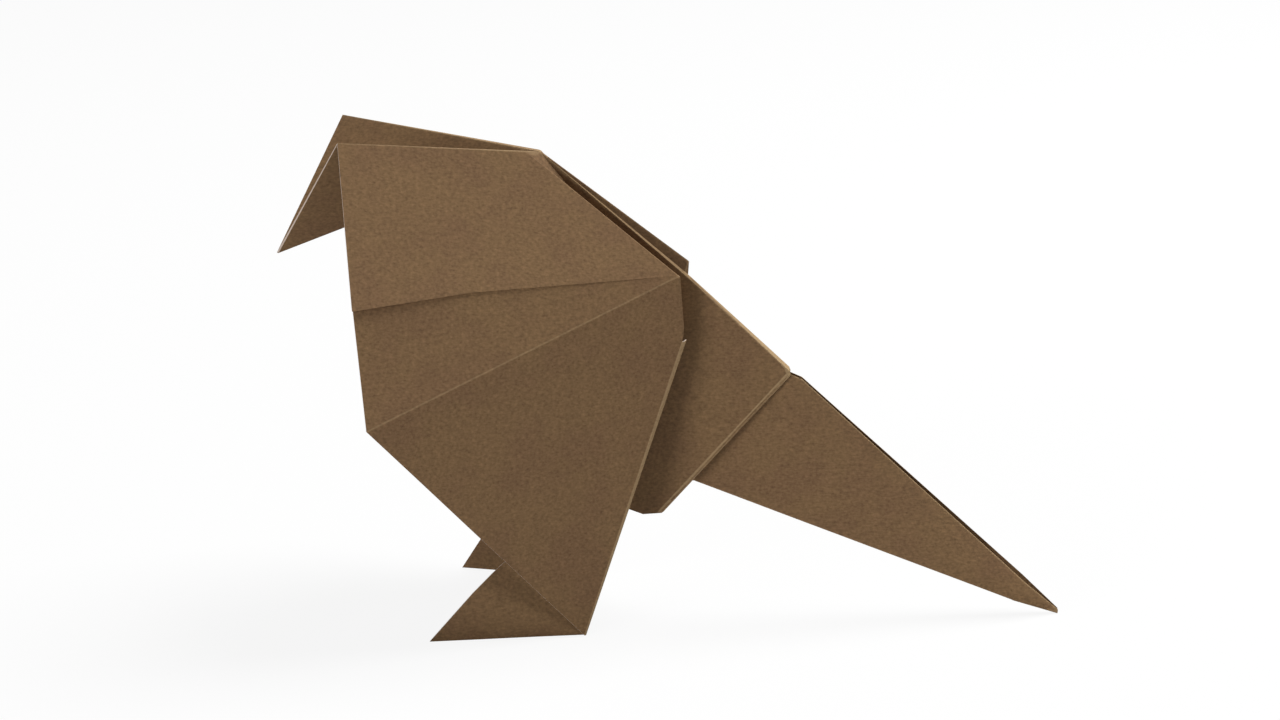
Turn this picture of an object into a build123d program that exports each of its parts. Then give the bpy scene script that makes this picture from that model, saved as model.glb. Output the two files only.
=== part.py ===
from build123d import *

import math
import os

import numpy as np

# A sparrow folded from one sheet of paper, standing on its two feet and its tail tip.

# Overall sizes, in millimetres
bird_length = 168.0
bird_height = 105.0
sheet_thickness = 0.25

# Half widths, from the mid-plane to the near side
head_half_width = 12.5
nape_half_width = 2.2
hub_half_width = 5.5
breast_half_width = 34.0
heel_half_width = 17.8
toe_half_width = 22.4
rump_half_width = 3.6
tail_mouth_half_width = 0.9
tail_end_half_width = 2.4
tail_tip_half_width = 0.5

# Rounded folds: the ridge of the back, the rump's edge, the leg's rear edge and the tail's keel
hub_ridge_half_width = 0.5
rump_ridge_half_width = 1.5
ridge_crown = 0.45
rump_roll_top = 0.7
rump_roll_drop = 1.4
rump_roll_low = 2.6
leg_roll_top = 1.7
leg_roll_low = 0.5
keel_half_width = 0.35
tail_root_half_width = 0.6
tail_top_depth = 2.0
tail_tip_rise = 0.8

# The far side as folded by hand: how far its corners lie from the near side's mirror
far_head_shift = (-2.6, 0.25, 1.1)
far_nape_shift = (2.4, 0.0, -0.5)
far_hub_shift = (1.65, -0.75, 0.85)
far_toe_shift = (2.2, 0.0, 0.0)

# How far the middle panel lies behind the upper one at the bird's front; it dies out at the hub
step_front = 0.9

# The leg's inner layer, which runs on into the foot
inner_layer_gap = 1.2

# The foot's bend: its depth behind the leg's front edge, and the bulge of its upper edge
foot_gap = 4.2
foot_edge_rise = 1.4

# Side view: shares of the length from the beak, and of the height from the floor
beak_tip_shares = (0.0, 0.75)
head_top_shares = (0.092, 1.0)
nape_corner_shares = (0.3195, 0.966)
nape_ridge_shares = (0.3335, 0.962)
hub_shares = (0.508, 0.726)
hub_ridge_shares = (0.5205, 0.706)
gutter_shares = (0.497, 0.64)
rump_ridge_shares = (0.6475, 0.518)
rump_low_shares = (0.4808, 0.2175)
rump_flat_shares = (0.4629, 0.2151)
rump_turn_shares = (0.4446, 0.2257)
rump_hidden_shares = (0.402, 0.279)
pleat_front_shares = (0.1175, 0.702)
pleat_middle_shares = (0.2556, 0.721)
breast_shares = (0.136, 0.476)
leg_bend_shares = (0.5145, 0.616)
leg_roll_shares = (0.5125, 0.589)
heel_shares = (0.392, 0.0)
toe_shares = (0.1985, 0.0)
tail_root_shares = (0.4065, 0.3533)
tail_mouth_shares = (0.664, 0.5)
tail_end_shares = (0.955, 0.0725)
keel_mouth_shares = (0.528, 0.279)
keel_end_shares = (0.94, 0.0278)
tail_point_shares = (1.0, 0.0)

# Where the foot leaves the leg's front edge, how far it runs on behind the leg, and where its bend ends
foot_top_share = 0.64
foot_hidden_share = 0.62
foot_bend_share = 0.45

# Facets across a rounded fold, along the tail's twist and across the foot's bend,
# the longest mitre in half thicknesses, and what counts as a flat fold
roll_steps = 4
tail_steps = 6
foot_steps = 4
mitre_limit = 4.0
flat_fold = 0.25


def side_point(shares, half_width):
    """A point of the near side from its place in the side view."""
    along, above = shares
    return np.array([along * bird_length, -half_width, above * bird_height])


def point_in_plane(shares, first, second, third):
    """The point at a place in the side view that lies in the plane of three others."""
    normal = np.cross(second - first, third - first)
    flat = side_point(shares, 0)
    flat[1] -= (flat - first).dot(normal) / normal[1]
    return flat


def unit(vector):
    return vector / np.linalg.norm(vector)


def roll_points(start, end, bulge):
    """Points on the half round from one edge of a fold to the other, ends left out."""
    middle = (start + end) / 2
    reach = (start - end) / 2
    rise = unit(bulge) * np.linalg.norm(reach)
    angles = [math.pi * step / roll_steps for step in range(1, roll_steps)]
    return [middle + reach * math.cos(angle) + rise * math.sin(angle) for angle in angles]


backward = np.array([1, 0, 0])
inward = np.array([0, 1, 0])
upward = np.array([0, 0, 1])


def mid_points():
    """The corners on the mid-plane."""
    return {
        "beak_tip": side_point(beak_tip_shares, 0),
        "nape_ridge": side_point(nape_ridge_shares, 0),
        "hub_crown": side_point(hub_ridge_shares, 0) + upward * ridge_crown,
        "rump_crown": side_point(rump_ridge_shares, 0) + upward * ridge_crown,
    }


def body_points():
    """The corners of the head, the back and the leg on the near side."""
    head_top = side_point(head_top_shares, head_half_width)
    nape_corner = side_point(nape_corner_shares, nape_half_width)
    hub = side_point(hub_shares, hub_half_width)
    breast = side_point(breast_shares, breast_half_width)
    heel = side_point(heel_shares, heel_half_width)
    pleat_front = point_in_plane(pleat_front_shares, head_top, nape_corner, hub)
    pleat_middle = point_in_plane(pleat_middle_shares, head_top, nape_corner, hub)
    tucked_front = pleat_front + inward * step_front
    return {
        "head_top": head_top,
        "nape_corner": nape_corner,
        "hub": hub,
        "pleat_front": pleat_front,
        "pleat_middle": pleat_middle,
        "tucked_front": tucked_front,
        "tucked_middle": point_in_plane(pleat_middle_shares, tucked_front, hub, breast),
        "breast": breast,
        "heel": heel,
        "leg_bend": point_in_plane(leg_bend_shares, breast, hub, heel),
        "leg_roll": point_in_plane(leg_roll_shares, breast, hub, heel),
    }


def foot_points(body):
    """The leg's rounded rear edge, its inner layer and the foot."""
    breast, heel, leg_roll = body["breast"], body["heel"], body["leg_roll"]
    inner_roll = leg_roll + inward * leg_roll_top
    inner_heel = heel + inward * leg_roll_low
    toe = side_point(toe_shares, toe_half_width)
    foot_top = breast + (heel - breast) * foot_top_share
    root_place = foot_top + (foot_top - toe) * foot_hidden_share
    root_shares = (root_place[0] / bird_length, root_place[2] / bird_height)
    foot_root = point_in_plane(root_shares, breast, leg_roll, heel)
    points = {
        "inner_roll": inner_roll,
        "inner_heel": inner_heel,
        "foot_root": foot_root + inward * inner_layer_gap,
        "toe": toe,
    }
    rear = leg_roll - breast
    for step, point in enumerate(roll_points(leg_roll, inner_roll, rear), 1):
        points[f"leg_roll_{step}"] = point
    for step, point in enumerate(roll_points(heel, inner_heel, rear), 1):
        points[f"heel_roll_{step}"] = point
    for step in range(foot_steps + 1):
        turn = math.pi * step / foot_steps
        share = foot_bend_share * step / foot_steps
        tucked = inward * foot_gap * (1 + math.cos(turn)) / 2
        raised = upward * foot_edge_rise * math.sin(turn / 2)
        points[f"foot_{step}"] = foot_top + (toe - foot_top) * share + tucked + raised
    return points


def rump_points():
    """The rear of the body, its turned edge and the tail on the near side."""
    hub_ridge = side_point(hub_ridge_shares, hub_ridge_half_width)
    rump_ridge = side_point(rump_ridge_shares, rump_ridge_half_width)
    rump_low = side_point(rump_low_shares, rump_half_width)
    plane = (hub_ridge, rump_ridge, rump_low)
    turned_ridge = rump_ridge + unit(rump_low - rump_ridge) * rump_roll_drop + inward * rump_roll_top
    turned_low = rump_low + inward * rump_roll_low
    tail_top = turned_ridge + unit(hub_ridge - rump_ridge) * tail_top_depth
    tail_top[1] = -keel_half_width
    points = {
        "hub_ridge": hub_ridge,
        "rump_ridge": rump_ridge,
        "rump_low": rump_low,
        "gutter": point_in_plane(gutter_shares, *plane),
        "rump_flat": point_in_plane(rump_flat_shares, *plane),
        "rump_turn": point_in_plane(rump_turn_shares, *plane),
        "rump_hidden": point_in_plane(rump_hidden_shares, *plane),
        "turned_ridge": turned_ridge,
        "turned_low": turned_low,
        "tail_top": tail_top,
        "tail_root": side_point(tail_root_shares, tail_root_half_width),
        "keel_root": side_point(tail_root_shares, keel_half_width) - upward * tail_root_half_width,
        "tail_tip": side_point(tail_point_shares, tail_tip_half_width) + upward * tail_tip_rise,
        "keel_tip": side_point(tail_point_shares, keel_half_width),
    }
    rear = np.cross(rump_low - rump_ridge, inward)
    for step, point in enumerate(roll_points(rump_ridge, turned_ridge, rear), 1):
        points[f"ridge_roll_{step}"] = point
    for step, point in enumerate(roll_points(rump_low, turned_low, backward), 1):
        points[f"low_roll_{step}"] = point
    tail_mouth = side_point(tail_mouth_shares, tail_mouth_half_width)
    tail_end = side_point(tail_end_shares, tail_end_half_width)
    keel_mouth = side_point(keel_mouth_shares, keel_half_width)
    keel_end = side_point(keel_end_shares, keel_half_width)
    for step in range(tail_steps + 1):
        share = step / tail_steps
        points[f"tail_{step}"] = tail_mouth + (tail_end - tail_mouth) * share
        points[f"keel_{step}"] = keel_mouth + (keel_end - keel_mouth) * share
    return points


def rolled(top_names, low_names):
    """The strips between two rows of points."""
    strips = []
    for step in range(len(top_names) - 1):
        corners = (top_names[step], low_names[step], low_names[step + 1], top_names[step + 1])
        strips.append((corners[0], corners[1], corners[2]))
        strips.append((corners[0], corners[2], corners[3]))
    return strips


def keel_names():
    """The corners along the tail's lower fold."""
    return ["keel_root"] + [f"keel_{step}" for step in range(tail_steps + 1)] + ["keel_tip"]


def near_panels():
    """Each panel of the near half as its corners' names, in the same turn all over the sheet."""
    rolls = range(1, roll_steps)
    tail_tops = ["tail_top"] + [f"tail_{step}" for step in range(tail_steps + 1)] + ["tail_tip"]
    leg_tops = ["leg_roll"] + [f"leg_roll_{step}" for step in rolls] + ["inner_roll"]
    leg_lows = ["heel"] + [f"heel_roll_{step}" for step in rolls] + ["inner_heel"]
    foot_tops = ["foot_root"] + [f"foot_{step}" for step in range(foot_steps + 1)] + ["toe"]
    rump_tops = ["rump_ridge"] + [f"ridge_roll_{step}" for step in rolls] + ["turned_ridge"]
    rump_lows = ["rump_low"] + [f"low_roll_{step}" for step in rolls] + ["turned_low"]
    head = [
        ("head_top", "nape_ridge", "beak_tip"),
        ("head_top", "nape_corner", "nape_ridge"),
        ("head_top", "pleat_front", "pleat_middle", "hub", "nape_corner"),
    ]
    back = [
        ("nape_ridge", "nape_corner", "gutter"),
        ("nape_corner", "hub", "gutter"),
        ("nape_ridge", "gutter", "hub_ridge"),
        ("nape_ridge", "hub_ridge", "hub_crown"),
        ("hub_crown", "hub_ridge", "rump_ridge"),
        ("hub_crown", "rump_ridge", "rump_crown"),
    ]
    side = [
        ("pleat_middle", "pleat_front", "tucked_front"),
        ("pleat_middle", "tucked_front", "tucked_middle"),
        ("hub", "pleat_middle", "tucked_middle"),
        ("hub", "tucked_middle", "tucked_front", "breast"),
        ("hub", "breast", "heel", "leg_roll", "leg_bend"),
    ]
    foot = [
        ("inner_roll", "inner_heel", "foot_root"),
        ("inner_roll", "foot_root", "rump_hidden"),
        ("inner_roll", "rump_hidden", "gutter"),
        ("inner_roll", "gutter", "hub"),
    ]
    foot += [(start, "inner_heel", end) for start, end in zip(foot_tops, foot_tops[1:])]
    rump = [
        ("hub_ridge", "gutter", "rump_hidden", "rump_turn", "rump_flat", "rump_low", "rump_ridge"),
        ("turned_ridge", "turned_low", "tail_root"),
        ("turned_ridge", "tail_root", "tail_top"),
    ]
    tail = [("tail_top", "tail_root", "keel_root")] + rolled(tail_tops, keel_names())
    rolls = rolled(leg_tops, leg_lows) + rolled(rump_tops, rump_lows)
    return head + back + side + foot + rump + tail + rolls


def sheet_surface():
    """The folded sheet with no thickness: its corners by name and its panels on both sides."""
    shared = mid_points()
    body = body_points()
    near = {**body, **foot_points(body), **rump_points()}
    shifts = {
        "head_top": far_head_shift,
        "nape_corner": far_nape_shift,
        "hub": far_hub_shift,
        "toe": far_toe_shift,
    }
    corners = dict(shared)
    for name, place in near.items():
        corners["near_" + name] = place
        corners["far_" + name] = place * np.array([1, -1, 1]) + shifts.get(name, 0)

    def named(side, name):
        return name if name in shared else side + name

    panels = []
    for panel in near_panels():
        panels.append([named("near_", name) for name in panel])
        panels.append([named("far_", name) for name in reversed(panel)])
    near_keel = ["near_" + name for name in keel_names()]
    far_keel = ["far_" + name for name in keel_names()]
    panels += rolled(near_keel, far_keel)
    return corners, panels


def panel_normal(places):
    """The unit normal of a panel, summed over its corners."""
    total = np.zeros_like(places[0])
    for step in range(1, len(places) - 1):
        total = total + np.cross(places[step] - places[0], places[step + 1] - places[0])
    return unit(total)


def corner_offsets(corners, panels):
    """How far each corner moves to reach the sheet's face, mitred where panels meet."""
    normals = {name: [] for name in corners}
    for panel in panels:
        places = [corners[name] for name in panel]
        for name in panel:
            normals[name].append(panel_normal(places))
    offsets = {}
    for name, rows in normals.items():
        wanted = np.ones(len(rows))
        reach = np.linalg.lstsq(np.array(rows), wanted, rcond=flat_fold)[0]
        reach = reach * min(1, mitre_limit / np.linalg.norm(reach))
        offsets[name] = reach * sheet_thickness / 2
    return offsets


def triangles(places):
    """Flat faces over a panel's corners."""
    fan = []
    for step in range(1, len(places) - 1):
        wire = Wire.make_polygon([Vector(*place) for place in (places[0], places[step], places[step + 1])])
        fan.append(Face(wire))
    return fan


def folded_sheet():
    """The whole sheet as one solid, with its origin under the middle of its box."""
    corners, panels = sheet_surface()
    offsets = corner_offsets(corners, panels)
    outer = {name: place + offsets[name] for name, place in corners.items()}
    inner = {name: place - offsets[name] for name, place in corners.items()}
    edges = set()
    faces = []
    for panel in panels:
        faces += triangles([outer[name] for name in panel])
        faces += triangles([inner[name] for name in reversed(panel)])
        edges.update(zip(panel, panel[1:] + panel[:1]))
    for start, end in sorted(edges):
        if (end, start) not in edges:
            faces += triangles([outer[end], outer[start], inner[start], inner[end]])
    solid = Solid(Shell(faces))
    box = solid.bounding_box()
    middle = box.center()
    return Pos(-middle.X, -middle.Y, -box.min.Z) * solid


os.makedirs("parts", exist_ok=True)
sheet = folded_sheet()
export_step(sheet, "parts/folded_sheet.step")
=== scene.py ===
"""A sparrow folded from one sheet of brown paper, with its floor, lamps and camera."""
import math

import bmesh
import bpy
import numpy as np
from bpy.props import FloatProperty, FloatVectorProperty, IntProperty, PointerProperty
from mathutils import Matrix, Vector


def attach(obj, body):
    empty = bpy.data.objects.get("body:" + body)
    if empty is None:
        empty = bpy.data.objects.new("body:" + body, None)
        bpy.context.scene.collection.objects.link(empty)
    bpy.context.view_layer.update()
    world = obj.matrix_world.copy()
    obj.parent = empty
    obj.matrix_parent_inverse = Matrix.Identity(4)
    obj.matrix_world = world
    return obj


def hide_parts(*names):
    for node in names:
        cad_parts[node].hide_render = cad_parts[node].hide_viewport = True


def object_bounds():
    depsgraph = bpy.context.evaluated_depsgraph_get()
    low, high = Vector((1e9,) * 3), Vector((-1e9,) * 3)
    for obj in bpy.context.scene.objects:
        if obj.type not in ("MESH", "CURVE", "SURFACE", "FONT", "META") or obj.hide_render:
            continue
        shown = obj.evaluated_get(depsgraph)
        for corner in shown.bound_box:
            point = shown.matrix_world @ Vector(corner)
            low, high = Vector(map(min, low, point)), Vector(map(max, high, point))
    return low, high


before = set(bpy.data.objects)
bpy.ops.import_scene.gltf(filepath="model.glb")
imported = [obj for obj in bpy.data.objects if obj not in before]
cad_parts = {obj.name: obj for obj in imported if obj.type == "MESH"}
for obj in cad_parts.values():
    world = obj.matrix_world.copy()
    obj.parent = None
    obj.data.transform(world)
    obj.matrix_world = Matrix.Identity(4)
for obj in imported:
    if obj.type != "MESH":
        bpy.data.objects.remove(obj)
cad_low, cad_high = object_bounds()

bl_info = {
    "name": "Folded Paper Sparrow",
    "version": (1, 0, 0),
    "blender": (4, 5, 0),
    "location": "3D View > Sidebar > Sparrow",
    "description": "Gives the folded sheet its rounded folds, its paper and a plain studio",
    "category": "Object",
}

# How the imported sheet's mesh is read
MERGE_DISTANCE = 1e-6  # nearer corners are one
FLAT_ANGLE = math.radians(0.2)  # flatter edges only split a panel
SMOOTH_ANGLE = math.radians(50)  # steeper edges stay hard in the shading
RAW_SLACK = 0.3  # share by which a cut edge's height may differ from the thickness
RAW_LONGEST = 4.5  # longest edge across a cut edge, in thicknesses
RAW_AGREEMENT = 0.4  # share of the faces at that edge's ends that have to agree
RAW_WIDEST = 2  # widest face along a cut edge, in thicknesses
RAW_SHARED = 0.5  # share of such a face's length that borders another one

# How the paper looks
NOISE_MIDDLE = 0.5  # noise goes as far above this as below it
GRAIN_SHADE, FIBRE_SHADE = 0.95, 0.7  # light and dark of the grain and the fibres
GRAIN_HEIGHT, FIBRE_HEIGHT = 0.6, 0.4  # shares of the bump's height
ROUGHNESS, GRAIN_ROUGHNESS = 0.86, 0.2  # the paper's roughness and how the grain changes it
WARM_SHARE = 0.6  # share of the warm colour in a warm patch
RAW_SHARE = 0.8  # share of the core's colour at a cut edge
WEAR_HIGHLIGHT_CORE, WEAR_HIGHLIGHT_REACH = 0.00005, 0.0003  # distances from a fold with full wear and painted highlight, and with none

WHITE = (1, 1, 1, 1)
MIX_FIRST, MIX_SECOND, MIX_RESULT = 6, 7, 2  # colour sockets of a Mix node


class PaperSettings(bpy.types.PropertyGroup):
    """Sizes and colours of the folded sheet."""

    thickness: FloatProperty(
        name="Thickness", description="Thickness of the sheet", default=0.00025, unit="LENGTH")
    fold_width: FloatProperty(
        name="Fold width", description="Width of the rounded face along a sharp fold",
        default=0.0005, unit="LENGTH")
    fold_segments: IntProperty(
        name="Fold segments", description="Facets across the rounded face of a sharp fold",
        default=4)
    fold_angle: FloatProperty(
        name="Fold angle", description="Flatter edges don't count as folds",
        default=math.radians(14), subtype="ANGLE")
    roll_width: FloatProperty(
        name="Roll width", description="Narrower faces belong to a rolled fold",
        default=0.0023, unit="LENGTH")
    # Rolled folds are painted pale across their whole width: rubbed wear plus a painted
    # highlight.
    roll_angle: FloatProperty(
        name="Roll angle", description="Flatter edges of a rolled fold are rubbed all over",
        default=math.radians(45), subtype="ANGLE")
    step_angle: FloatProperty(
        name="Step angle", description="A narrow face behind a steeper edge is a pleat's step",
        default=math.radians(100), subtype="ANGLE")
    panel_width: FloatProperty(
        name="Panel width", description="Narrower faces belong to a roll and stay as they are",
        default=0.003, unit="LENGTH")
    tail_start: FloatProperty(
        name="Tail start", description="Behind this place the sheet shows no cut edge",
        default=0.02, unit="LENGTH")
    grid: FloatProperty(
        name="Grid", description="Spacing of the cuts that let the panels bend",
        default=0.002, unit="LENGTH")
    wave: FloatProperty(
        name="Wave", description="Strength of the waves that take the panels from flat",
        default=0.0006, unit="LENGTH")
    wave_length: FloatProperty(
        name="Wave length", description="Size of one soft wave of a panel",
        default=0.045, unit="LENGTH")
    face_colour: FloatVectorProperty(
        name="Paper", description="Colour of the paper's face", subtype="COLOR",
        default=(0.195, 0.117, 0.057), min=0, max=1)
    warm_colour: FloatVectorProperty(
        name="Warm fibre", description="Redder patches in the paper", subtype="COLOR",
        default=(0.172, 0.098, 0.052), min=0, max=1)
    # Pale tan along outward folds and rolls: rubbed wear, plus a painted highlight where they
    # catch the light.
    wear_and_highlight_colour: FloatVectorProperty(
        name="Worn fold", description="Paper rubbed pale along a fold", subtype="COLOR",
        default=(0.40, 0.28, 0.15), min=0, max=1)
    raw_colour: FloatVectorProperty(
        name="Raw edge", description="Core of the paper at a cut edge", subtype="COLOR",
        default=(0.60, 0.50, 0.43), min=0, max=1)


class StudioSettings(bpy.types.PropertyGroup):
    """The floor, the lamps and the camera."""

    floor_size: FloatProperty(
        name="Floor", description="Side of the square floor", default=8.0, unit="LENGTH")
    floor_colour: FloatVectorProperty(
        name="Floor colour", description="Colour of the floor", subtype="COLOR",
        default=(0.7, 0.7, 0.7), min=0, max=1)
    floor_white: FloatProperty(
        name="Floor white", description="Share of plain white over the floor's shadow",
        default=0.9, subtype="FACTOR", min=0, max=1)
    sky: FloatProperty(
        name="Sky", description="Strength of the even light all round", default=0.02)
    front_power: FloatProperty(
        name="Front lamp", description="Power of the low lamp ahead of the beak",
        default=13.2, unit="POWER")
    front_size: FloatProperty(
        name="Front lamp size", description="Side of the low lamp", default=0.7, unit="LENGTH")
    front_place: FloatVectorProperty(
        name="Front lamp place", description="Middle of the low lamp", subtype="XYZ",
        default=(-1.1, -1.1, 0.38))
    rear_power: FloatProperty(
        name="Rear lamp", description="Power of the high lamp behind the tail",
        default=43.0, unit="POWER")
    rear_size: FloatProperty(
        name="Rear lamp size", description="Side of the high lamp", default=1.0, unit="LENGTH")
    rear_place: FloatVectorProperty(
        name="Rear lamp place", description="Middle of the high lamp", subtype="XYZ",
        default=(0.7, 0.4, 1.44))
    camera_turn: FloatProperty(
        name="Turn", description="Camera's turn towards the tail",
        default=math.radians(2.3), subtype="ANGLE")
    camera_rise: FloatProperty(
        name="Rise", description="Camera's height over the floor as an angle",
        default=math.radians(16), subtype="ANGLE")
    camera_reach: FloatProperty(
        name="Reach", description="Camera's distance from the point it looks at",
        default=0.56907, unit="LENGTH")
    camera_aim: FloatVectorProperty(
        name="Aim", description="Point that the camera looks at", subtype="XYZ",
        default=(-0.007, 0, 0.0562))
    camera_lens: FloatProperty(
        name="Lens", description="Focal length in millimetres", default=75.0)


class Value:
    """A socket whose arithmetic adds Math nodes."""

    def __init__(self, tree, socket):
        self.tree = tree
        self.socket = socket

    def math(self, operation, other):
        return self.tree.add("ShaderNodeMath", {"operation": operation}, {0: self, 1: other})

    def __add__(self, other):
        return self.math("ADD", other)

    def __radd__(self, other):
        return self + other

    def __mul__(self, other):
        return self.math("MULTIPLY", other)

    def __rmul__(self, other):
        return self * other

    def __sub__(self, other):
        return self.math("SUBTRACT", other)

    def __rsub__(self, other):
        return self * -1 + other


class Finish:
    """A material's or the world's node tree."""

    def __init__(self, owner):
        owner.use_nodes = True
        self.nodes = owner.node_tree.nodes
        self.links = owner.node_tree.links
        self.nodes.clear()

    def add(self, kind, settings=None, inputs=None, output=0):
        """A node with its settings, then its sockets' values or links; gives one output."""
        node = self.nodes.new(kind)
        for name, value in (settings or {}).items():
            setattr(node, name, value)
        for name, value in (inputs or {}).items():
            if isinstance(value, Value):
                self.links.new(value.socket, node.inputs[name])
            else:
                node.inputs[name].default_value = value
        if not node.outputs:
            return None
        return Value(self, node.outputs[output])

    def noise(self, place, scale, detail, roughness=0.5):
        inputs = {"Vector": place, "Scale": scale, "Detail": detail, "Roughness": roughness}
        return self.add("ShaderNodeTexNoise", inputs=inputs)

    def attribute(self, name):
        """A number that the mesh carries."""
        return self.add("ShaderNodeAttribute", {"attribute_name": name}, output="Fac")

    def blend(self, share, first, second, kind="MIX"):
        """A colour between two others, or their product."""
        settings = {"data_type": "RGBA", "blend_type": kind}
        inputs = {"Factor": share, MIX_FIRST: first, MIX_SECOND: second}
        return self.add("ShaderNodeMix", settings, inputs, output=MIX_RESULT)

    def ramp(self, value, low, high):
        """0 below the first number, 1 above the second, smooth between them."""
        settings = {"interpolation_type": "SMOOTHSTEP", "clamp": True}
        inputs = {"Value": value, "From Min": low, "From Max": high}
        return self.add("ShaderNodeMapRange", settings, inputs)

    def seen(self):
        """1 for rays from the camera and for those that a shiny or clear surface sends on."""
        camera = self.add("ShaderNodeLightPath", output="Is Camera Ray")
        glossy = self.add("ShaderNodeLightPath", output="Is Glossy Ray")
        clear = self.add("ShaderNodeLightPath", output="Is Transmission Ray")
        return camera.math("MAXIMUM", glossy).math("MAXIMUM", clear)

    def mix_shaders(self, share, first, second):
        return self.add("ShaderNodeMixShader", inputs={0: share, 1: first, 2: second})


def solid_colour(colour):
    return (*colour, 1.0)


def wear_and_highlight(tree, distance, fibre, even, patchy):
    """How pale the paper is painted beside a fold: wear with a painted highlight, all along it,
    and more where the fibres are high.
    """
    near = 1 - tree.ramp(distance, WEAR_HIGHLIGHT_CORE, WEAR_HIGHLIGHT_REACH)
    return near * (even + fibre * patchy)


def paper_finish(settings):
    """Matte brown paper: fibre grain, soft patches, folds and rolls painted pale (wear with a
    painted highlight), and paler raw edges.
    """
    material = bpy.data.materials.new("brown_paper")
    tree = Finish(material)
    place = tree.add("ShaderNodeTexCoord", output="Object")
    stretch = tree.add(
        "ShaderNodeMapping", inputs={"Vector": place, "Scale": (0.35, 1.0, 1.0)})
    grain = tree.noise(place, scale=1500.0, detail=3.0, roughness=0.6)
    fibre = tree.noise(stretch, scale=2600.0, detail=2.0)
    patches = tree.noise(place, scale=90.0, detail=3.0)
    grain_swing = grain - NOISE_MIDDLE

    wear_and_highlight_colour = solid_colour(settings.wear_and_highlight_colour)
    warm = tree.ramp(patches, low=0.38, high=0.68)
    colour = tree.blend(
        warm * WARM_SHARE, solid_colour(settings.face_colour), solid_colour(settings.warm_colour))
    shade = 1 + grain_swing * GRAIN_SHADE + (fibre - NOISE_MIDDLE) * FIBRE_SHADE
    grey = tree.add(
        "ShaderNodeCombineColor", inputs={"Red": shade, "Green": shade, "Blue": shade})
    colour = tree.blend(1.0, colour, grey, kind="MULTIPLY")
    # Outward folds and rolled bands are painted paler: wear, plus a painted highlight where they
    # catch the light.
    fold_wear_and_highlight = wear_and_highlight(tree, tree.attribute("fold_distance"), fibre, even=0.1, patchy=0.5)
    colour = tree.blend(fold_wear_and_highlight, colour, wear_and_highlight_colour)
    roll_wear_and_highlight = wear_and_highlight(tree, tree.attribute("roll_distance"), fibre, even=0.35, patchy=0.6)
    colour = tree.blend(roll_wear_and_highlight, colour, wear_and_highlight_colour)
    raw = tree.attribute("raw")
    colour = tree.blend(raw * RAW_SHARE, colour, solid_colour(settings.raw_colour))

    height = grain * GRAIN_HEIGHT + fibre * FIBRE_HEIGHT
    bump = tree.add(
        "ShaderNodeBump", inputs={"Height": height, "Strength": 0.35, "Distance": 0.00006})
    rough = ROUGHNESS + grain_swing * GRAIN_ROUGHNESS
    shader = tree.add(
        "ShaderNodeBsdfPrincipled",
        inputs={"Base Color": colour, "Roughness": rough, "Normal": bump,
                "Specular IOR Level": 0.15})
    tree.add("ShaderNodeOutputMaterial", inputs={"Surface": shader})
    return material


def floor_finish(settings):
    """A white floor that keeps a faint shadow."""
    material = bpy.data.materials.new("studio_floor")
    tree = Finish(material)
    matte = tree.add(
        "ShaderNodeBsdfDiffuse", inputs={"Color": solid_colour(settings.floor_colour)})
    white = tree.add("ShaderNodeEmission", inputs={"Color": WHITE, "Strength": 1.0})
    shader = tree.mix_shaders(tree.seen() * settings.floor_white, matte, white)
    tree.add("ShaderNodeOutputMaterial", inputs={"Surface": shader})
    return material


def sky_finish(settings):
    """A white sky that lights the bird only a little."""
    world = bpy.data.worlds.new("studio_sky")
    tree = Finish(world)
    even = tree.add("ShaderNodeBackground", inputs={"Color": WHITE, "Strength": settings.sky})
    white = tree.add("ShaderNodeBackground", inputs={"Color": WHITE, "Strength": 1.0})
    shader = tree.mix_shaders(tree.seen(), even, white)
    tree.add("ShaderNodeOutputWorld", inputs={"Surface": shader})
    return world


def work_on(piece):
    """Makes a piece the only selected object."""
    bpy.ops.object.select_all(action="DESELECT")
    piece.select_set(True)
    bpy.context.view_layer.objects.active = piece


def copy_of_node(node, name):
    """A new piece in edit mode that starts from a CAD node's mesh, with its corners merged."""
    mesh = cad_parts[node].data.copy()
    mesh.name = name
    mesh.materials.clear()
    piece = bpy.data.objects.new(name, mesh)
    bpy.context.scene.collection.objects.link(piece)
    work_on(piece)
    bpy.ops.object.mode_set(mode="EDIT")
    bpy.ops.mesh.select_all(action="SELECT")
    bpy.ops.mesh.remove_doubles(threshold=MERGE_DISTANCE)
    bpy.ops.mesh.customdata_custom_splitnormals_clear()
    return piece


def longest_edge(face):
    return max(edge.calc_length() for edge in face.edges)


def face_width(face):
    """How wide a face is across its longest edge."""
    return 2 * face.calc_area() / longest_edge(face)


def runs_through(edge, thickness):
    """Whether an edge joins the sheet's two sides: the faces at its ends lie that far apart."""
    depths = []
    for start, end in (edge.verts, reversed(edge.verts)):
        step = start.co - end.co
        depths += [face.normal.dot(step) for face in start.link_faces if end not in face.verts]
    slack = RAW_SLACK * thickness
    outward = [depth for depth in depths if abs(depth - thickness) < slack]
    inward = [depth for depth in depths if abs(depth + thickness) < slack]
    short = edge.calc_length() < RAW_LONGEST * thickness
    return short and len(outward) > max(RAW_AGREEMENT * len(depths), len(inward))


def mark_raw_faces(shape, thickness, tail_start):
    """Marks the cut edges ahead of the tail: narrow faces from one side to the other."""
    raw = shape.faces.layers.int.new("raw")
    for edge in shape.edges:
        if runs_through(edge, thickness):
            for face in edge.link_faces:
                face[raw] = 1
    for face in [face for face in shape.faces if face[raw]]:
        for edge in face.edges:
            for other in edge.link_faces:
                narrow = face_width(other) < RAW_WIDEST * thickness
                if narrow and edge.calc_length() > RAW_SHARED * longest_edge(other):
                    other[raw] = 1
    for face in shape.faces:
        if face.calc_center_median().x > tail_start:
            face[raw] = 0


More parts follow.
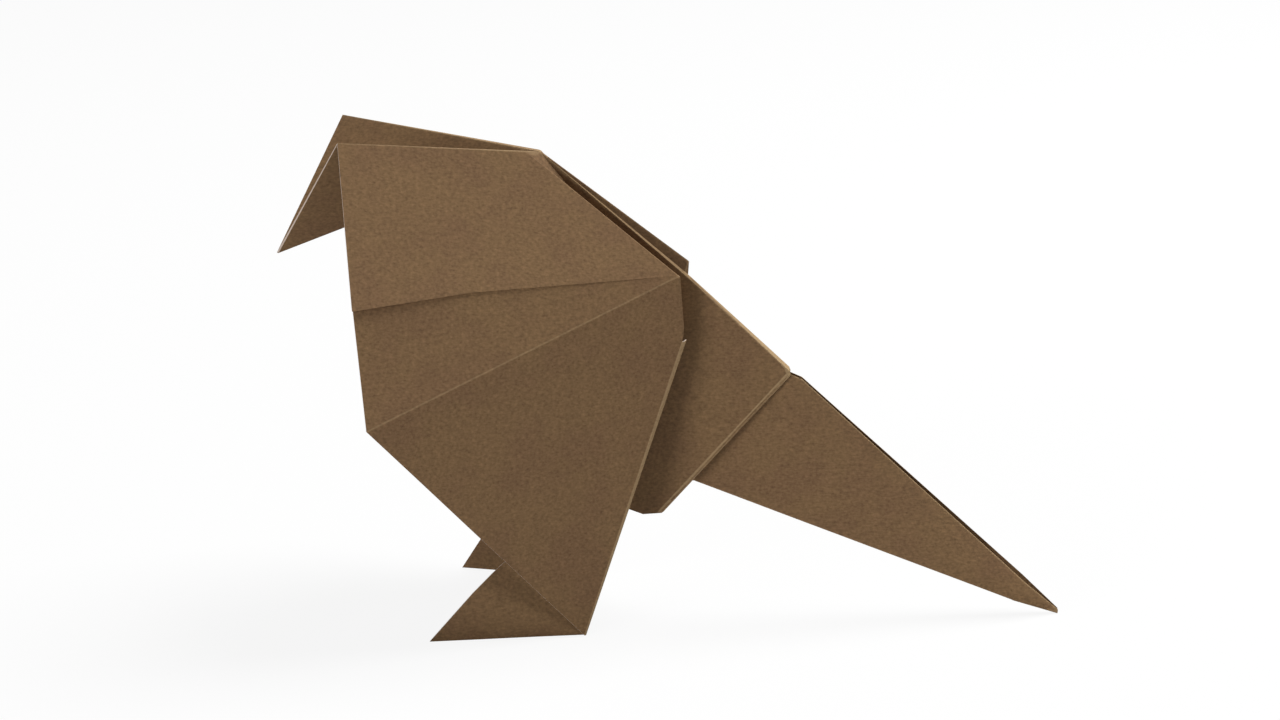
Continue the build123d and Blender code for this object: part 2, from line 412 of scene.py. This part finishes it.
def sheet_folds(shape, settings):
    """Lines of the outward folds and of the rolls, and the edges of folds between panels."""
    raw = shape.faces.layers.int["raw"]
    folds, rolls, sharp = [], [], []
    for edge in shape.edges:
        first, second = edge.link_faces
        angle = edge.calc_face_angle_signed()
        if first[raw] or second[raw] or angle < settings.fold_angle:
            continue
        line = [np.array(vertex.co) for vertex in edge.verts]
        width = min(face_width(first), face_width(second))
        if width > settings.panel_width:
            sharp.append(edge)
            folds.append(line)
        elif width < settings.roll_width and angle < settings.roll_angle:
            rolls.append(line)
        elif width < settings.roll_width and angle < settings.step_angle:
            folds.append(line)
    return folds, rolls, sharp


def distance_to(lines, places):
    """How far each place is from the nearest of some straight lines."""
    nearest = np.full(len(places), np.inf)
    for start, end in lines:
        along = end - start
        share = np.clip((places - start) @ along / along.dot(along), 0, 1)
        gaps = np.linalg.norm(places - start - share[:, None] * along, axis=1)
        nearest = np.minimum(nearest, gaps)
    return nearest


def store(mesh, name, values):
    """Keeps a number for each point of a mesh."""
    layer = mesh.attributes.new(name, "FLOAT", "POINT")
    layer.data.foreach_set("value", values.astype(np.float32))


def cut_grid(step):
    """Cuts the piece in hand by upright and level planes, so that its panels can bend."""
    for axis, normal in ((0, (1, 0, 0)), (2, (0, 0, 1))):
        count = int((cad_high[axis] - cad_low[axis]) / step)
        for number in range(1, count + 1):
            place = [0, 0, 0]
            place[axis] = cad_low[axis] + number * step
            bpy.ops.mesh.select_all(action="SELECT")
            bpy.ops.mesh.bisect(plane_co=place, plane_no=normal)


def soften(piece, settings):
    """Lets the panels wander a little from flat."""
    clouds = bpy.data.textures.new("paper_wave", type="CLOUDS")
    clouds.noise_scale = settings.wave_length
    clouds.noise_depth = 1
    wave = piece.modifiers.new("wave", "DISPLACE")
    wave.texture = clouds
    wave.texture_coords = "LOCAL"
    wave.direction = "Y"
    wave.strength = settings.wave
    bpy.ops.object.modifier_apply(modifier=wave.name)


def even_shading(piece):
    """Smooth over the rolls, with each panel shaded flat up to its folds."""
    bpy.ops.object.shade_smooth_by_angle(angle=SMOOTH_ANGLE)
    weighted = piece.modifiers.new("weighted", "WEIGHTED_NORMAL")
    weighted.keep_sharp = True
    weighted.weight = 100
    bpy.ops.object.modifier_apply(modifier=weighted.name)


class SPARROW_OT_folded_paper(bpy.types.Operator):
    """Folded sheet with rounded folds, soft panels and a paper finish"""

    bl_idname = "sparrow.folded_paper"
    bl_label = "Folded paper"

    def execute(self, context):
        settings = context.scene.sparrow_paper
        piece = copy_of_node("folded_sheet", "folded_paper")
        mesh = piece.data
        bpy.ops.mesh.dissolve_limited(angle_limit=FLAT_ANGLE)
        bpy.ops.mesh.select_mode(type="EDGE")
        bpy.ops.mesh.select_all(action="DESELECT")
        shape = bmesh.from_edit_mesh(mesh)
        mark_raw_faces(shape, settings.thickness, settings.tail_start)
        folds, rolls, sharp = sheet_folds(shape, settings)
        if not sharp:
            raise RuntimeError("the folded sheet has no folds between its panels")
        for edge in sharp:
            edge.select_set(True)
        bmesh.update_edit_mesh(mesh)
        bpy.ops.mesh.bevel(
            offset_type="WIDTH", offset=settings.fold_width, segments=settings.fold_segments,
            affect="EDGES")
        cut_grid(settings.grid)
        bpy.ops.object.mode_set(mode="OBJECT")
        places = np.array([vertex.co for vertex in mesh.vertices])
        store(mesh, "fold_distance", distance_to(folds, places))
        store(mesh, "roll_distance", distance_to(rolls, places))
        soften(piece, settings)
        even_shading(piece)
        mesh.materials.append(paper_finish(settings))
        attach(piece, "root")
        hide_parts("folded_sheet")
        return {"FINISHED"}


def facing(direction):
    """The turn of a lamp or camera that looks along a direction."""
    return direction.to_track_quat("-Z", "Y").to_euler()


def add_floor(settings):
    """The plain floor under the bird."""
    bpy.ops.object.select_all(action="DESELECT")
    bpy.ops.mesh.primitive_plane_add(size=settings.floor_size)
    floor = bpy.context.object
    floor.name = "studio_floor"
    floor.data.materials.append(floor_finish(settings))


def add_lamp(name, place, power, size):
    """A square lamp that faces the bird."""
    bpy.ops.object.light_add(type="AREA", location=place)
    lamp = bpy.context.object
    lamp.name = name
    lamp.data.energy = power
    lamp.data.size = size
    middle = cad_low.lerp(cad_high, 0.5)
    lamp.rotation_euler = facing(middle - lamp.location)


def add_camera(settings):
    """The camera at the photograph's viewing angle."""
    turn, rise = settings.camera_turn, settings.camera_rise
    back = Vector((
        math.sin(turn) * math.cos(rise), -math.cos(turn) * math.cos(rise), math.sin(rise)))
    place = Vector(settings.camera_aim) + back * settings.camera_reach
    bpy.ops.object.camera_add(location=place)
    camera = bpy.context.object
    camera.name = "photo_camera"
    camera.rotation_euler = facing(-back)
    camera.data.lens = settings.camera_lens
    camera.data.sensor_width = 36
    camera.data.clip_start = 0.01
    bpy.context.scene.camera = camera


class SPARROW_OT_studio(bpy.types.Operator):
    """Plain pale floor, soft lamps and the camera"""

    bl_idname = "sparrow.studio"
    bl_label = "Studio"

    def execute(self, context):
        settings = context.scene.sparrow_studio
        add_floor(settings)
        context.scene.world = sky_finish(settings)
        add_lamp(
            "front_lamp", settings.front_place, settings.front_power, settings.front_size)
        add_lamp("rear_lamp", settings.rear_place, settings.rear_power, settings.rear_size)
        add_camera(settings)
        context.scene.view_settings.view_transform = "Standard"
        return {"FINISHED"}


class SPARROW_PT_sidebar(bpy.types.Panel):
    """The sparrow's pieces and their settings"""

    bl_label = "Folded paper sparrow"
    bl_idname = "SPARROW_PT_sidebar"
    bl_space_type = "VIEW_3D"
    bl_region_type = "UI"
    bl_category = "Sparrow"

    def draw(self, context):
        for settings, operator in (
                (context.scene.sparrow_paper, SPARROW_OT_folded_paper),
                (context.scene.sparrow_studio, SPARROW_OT_studio)):
            box = self.layout.box()
            box.operator(operator.bl_idname)
            for name in settings.__annotations__:
                box.prop(settings, name)


classes = (
    PaperSettings, StudioSettings, SPARROW_OT_folded_paper, SPARROW_OT_studio, SPARROW_PT_sidebar)


def register():
    for kind in classes:
        bpy.utils.register_class(kind)
    bpy.types.Scene.sparrow_paper = PointerProperty(type=PaperSettings)
    bpy.types.Scene.sparrow_studio = PointerProperty(type=StudioSettings)


def unregister():
    del bpy.types.Scene.sparrow_studio
    del bpy.types.Scene.sparrow_paper
    for kind in reversed(classes):
        bpy.utils.unregister_class(kind)


def main():
    register()
    bpy.ops.sparrow.folded_paper()
    bpy.ops.sparrow.studio()


if __name__ == "__main__":
    main()
